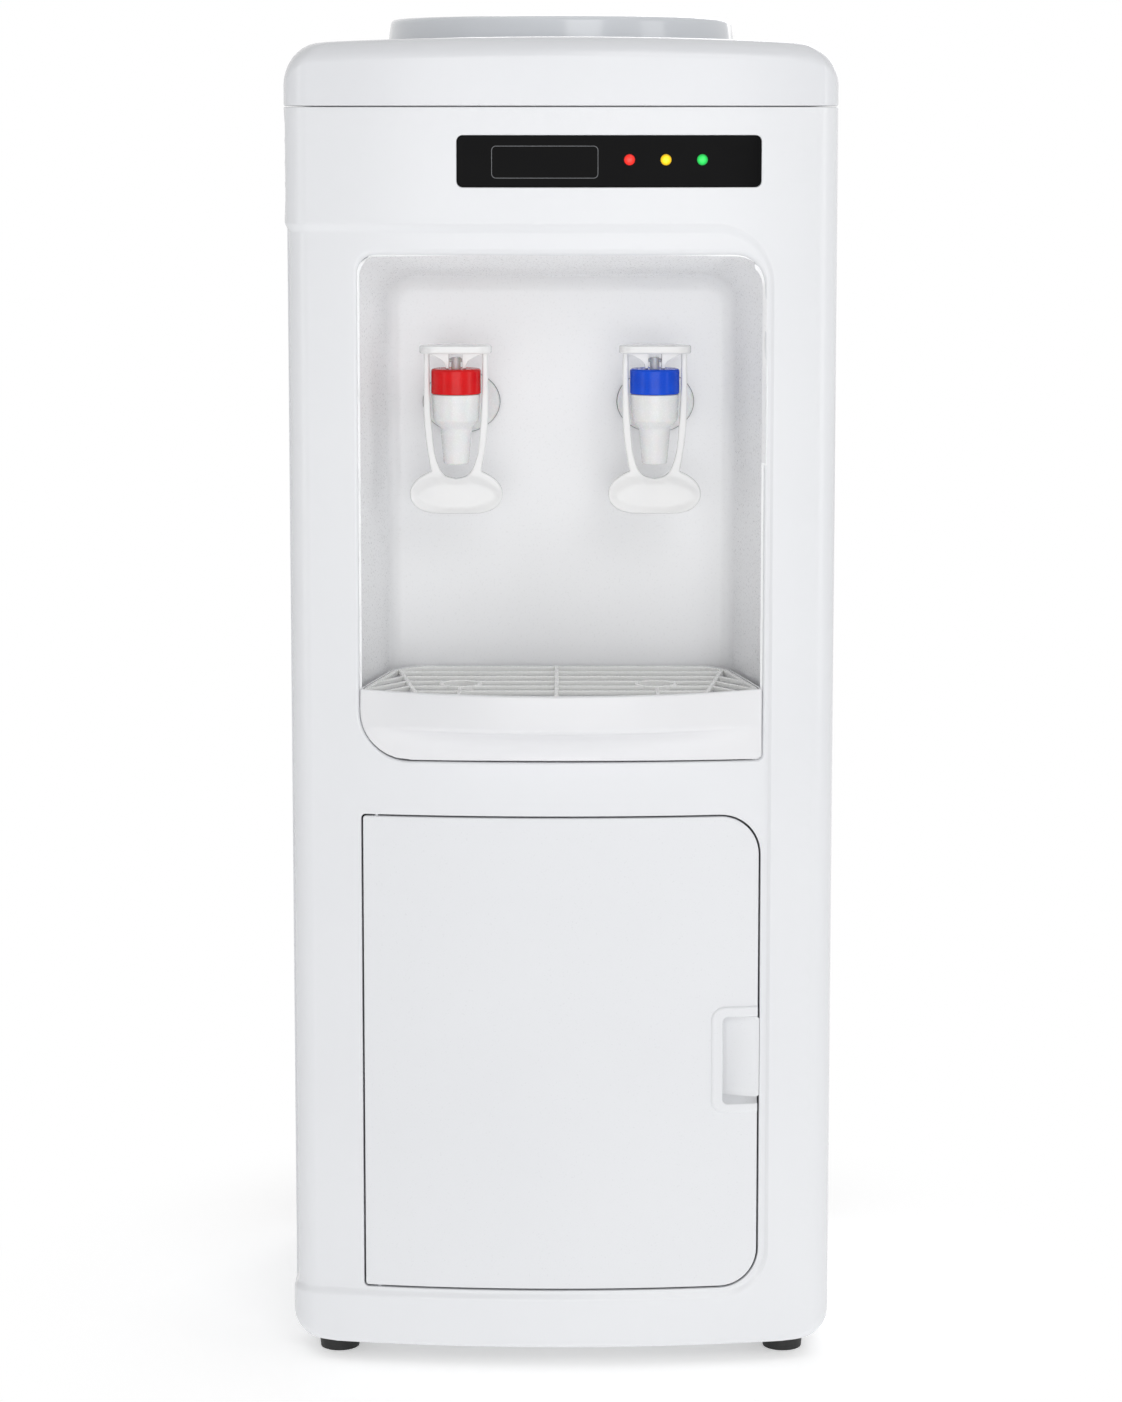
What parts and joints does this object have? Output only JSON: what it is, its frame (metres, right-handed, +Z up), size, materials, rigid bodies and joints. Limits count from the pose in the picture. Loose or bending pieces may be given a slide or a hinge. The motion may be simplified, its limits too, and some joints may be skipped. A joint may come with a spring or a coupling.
{
  "type": "top-loading water cooler",
  "caption": "Free-standing hot and cold water dispenser with a bottle collar on top, two push taps over a drip tray and a storage cabinet below.",
  "frame": {"origin": "on the floor under the middle of the whole object's box", "axes": "+Z up, the front with the taps and the door faces -Y, +X to the right seen from the front"},
  "size_m": [0.36, 0.37, 0.8935],
  "materials": {
    "cabinet_white": "glossy injection-moulded ABS",
    "cover_white": "glossy injection-moulded ABS",
    "collar_grey": "satin cool grey-white ABS",
    "niche_white": "smooth white ABS",
    "tray_white": "glossy white ABS",
    "grille_white": "warm white ABS",
    "door_white": "fine satin white ABS",
    "tap_white": "white polypropylene, slightly translucent",
    "lever_white": "glossy white ABS",
    "hot_red": "satin red plastic",
    "cold_blue": "satin blue plastic",
    "window_black": "black acrylic, polished",
    "lamp_red": "tinted lens",
    "lamp_yellow": "tinted lens",
    "lamp_green": "tinted lens",
    "board_green": "coated circuit board",
    "silicone": "translucent white silicone",
    "stainless": "brushed stainless steel",
    "spring_steel": "bright spring wire",
    "zinc_steel": "zinc-plated steel",
    "painted_side": "white powder-coated steel",
    "painted_rear": "light grey coated steel",
    "painted_black": "black enamelled steel",
    "copper": "drawn copper",
    "foam": "expanded polystyrene",
    "rubber_black": "moulded black rubber",
    "switch_red": "glossy red plastic",
    "switch_green": "glossy green plastic",
    "black_plastic": "moulded black plastic",
    "magnet_grey": "moulded catch housing"
  },
  "bodies": {
    "cabinet": {"front_panel": "cabinet_white", "top_cover": "cover_white", "niche_liner": "niche_white", "indicator_window": "window_black", "indicator_board": "board_green", "power_lamp": "lamp_red", "heating_lamp": "lamp_yellow", "cooling_lamp": "lamp_green", "hot_tap_body": "tap_white", "cold_tap_body": "tap_white", "hot_tap_cap": "hot_red", "cold_tap_cap": "cold_blue", "tap_springs": "spring_steel", "tap_flanges": "tap_white", "tap_nuts": "tap_white", "hinge_pins": "zinc_steel", "door_magnet": "magnet_grey", "storage_liner": "niche_white", "side_panel_left": "painted_side", "side_panel_right": "painted_side", "back_panel": "painted_rear", "base_pan": "painted_rear", "feet": "rubber_black", "compressor": "painted_black", "compressor_grommets": "rubber_black", "condenser_coil": "painted_black", "condenser_wires": "painted_black", "refrigerant_tubes": "copper", "tank_shelf": "zinc_steel", "tank_bracket": "zinc_steel", "hot_tank": "stainless", "band_heater": "zinc_steel", "hot_tank_cutouts": "black_plastic", "hot_tank_stand": "zinc_steel", "cold_tank": "stainless", "cold_tank_foam": "foam", "evaporator_coil": "copper", "water_hoses": "silicone", "drain_pipe": "silicone", "switch_frames": "black_plastic", "thermostat": "black_plastic", "cord_gland": "black_plastic", "panel_screws": "zinc_steel"},
    "storage_door": {"door_panel": "door_white", "door_liner": "niche_white", "door_handle": "door_white", "strike_plate": "zinc_steel"},
    "tray": {"drip_tray": "tray_white"},
    "grille": {"drip_grille": "grille_white"},
    "collar": {"bottle_seat": "collar_grey"},
    "hot_lever": {"hot_tap_lever": "lever_white"},
    "cold_lever": {"cold_tap_lever": "lever_white"},
    "hot_stem": {"hot_tap_stem": "tap_white", "hot_tap_plug": "silicone"},
    "cold_stem": {"cold_tap_stem": "tap_white", "cold_tap_plug": "silicone"},
    "hot_rocker": {"hot_switch": "switch_red"},
    "cold_rocker": {"cold_switch": "switch_green"},
    "knob": {"thermostat_knob": "black_plastic"},
    "drain_closure": {"drain_cap": "black_plastic"}
  },
  "joints": [
    {"name": "hot_lever_push", "type": "hinge", "parent": "cabinet", "child": "hot_lever", "pos_m": [-0.0695, -0.114, 0.6632], "axis": [1, 0, 0], "range_deg": [0, 15], "stiffness_Nm_per_rad": 0.8, "springref_deg": -6.88},
    {"name": "hot_stem_lift", "type": "slide", "parent": "cabinet", "child": "hot_stem", "axis": [0, 0, 1], "range_m": [0, 0.0024]},
    {"name": "cold_lever_push", "type": "hinge", "parent": "cabinet", "child": "cold_lever", "pos_m": [0.062, -0.114, 0.6632], "axis": [1, 0, 0], "range_deg": [0, 15], "stiffness_Nm_per_rad": 0.8, "springref_deg": -6.88},
    {"name": "cold_stem_lift", "type": "slide", "parent": "cabinet", "child": "cold_stem", "axis": [0, 0, 1], "range_m": [0, 0.0024]},
    {"name": "drip_tray_slide", "type": "slide", "parent": "cabinet", "child": "tray", "axis": [0, -1, 0], "range_m": [0, 0.1]},
    {"name": "grille_lift", "type": "slide", "parent": "tray", "child": "grille", "axis": [0, 0, 1], "range_m": [0, 0.04]},
    {"name": "storage_door_swing", "type": "hinge", "parent": "cabinet", "child": "storage_door", "pos_m": [-0.1215, -0.14983, 0.052], "axis": [0, 0, -1], "range_deg": [0, 110]},
    {"name": "bottle_seat_lift", "type": "slide", "parent": "cabinet", "child": "collar", "axis": [0, 0, 1], "range_m": [0, 0.06]},
    {"name": "thermostat_turn", "type": "hinge", "parent": "cabinet", "child": "knob", "pos_m": [-0.12, 0.156, 0.806], "axis": [0, 1, 0], "range_deg": [0, 270]},
    {"name": "drain_cap_turn", "type": "hinge", "parent": "cabinet", "child": "drain_closure", "pos_m": [0, 0.159, 0.44], "axis": [0, 1, 0], "range_deg": [0, 360]},
    {"name": "hot_switch_rock", "type": "hinge", "parent": "cabinet", "child": "hot_rocker", "pos_m": [0.12, 0.147, 0.806], "axis": [-1, 0, 0], "range_deg": [0, 14]},
    {"name": "cold_switch_rock", "type": "hinge", "parent": "cabinet", "child": "cold_rocker", "pos_m": [0.096, 0.147, 0.806], "axis": [-1, 0, 0], "range_deg": [0, 14]}
  ],
  "couplings": [
    {"joint": "hot_stem_lift", "follows": "hot_lever_push", "m_per_rad": 0.009},
    {"joint": "cold_stem_lift", "follows": "cold_lever_push", "m_per_rad": 0.009}
  ]
}
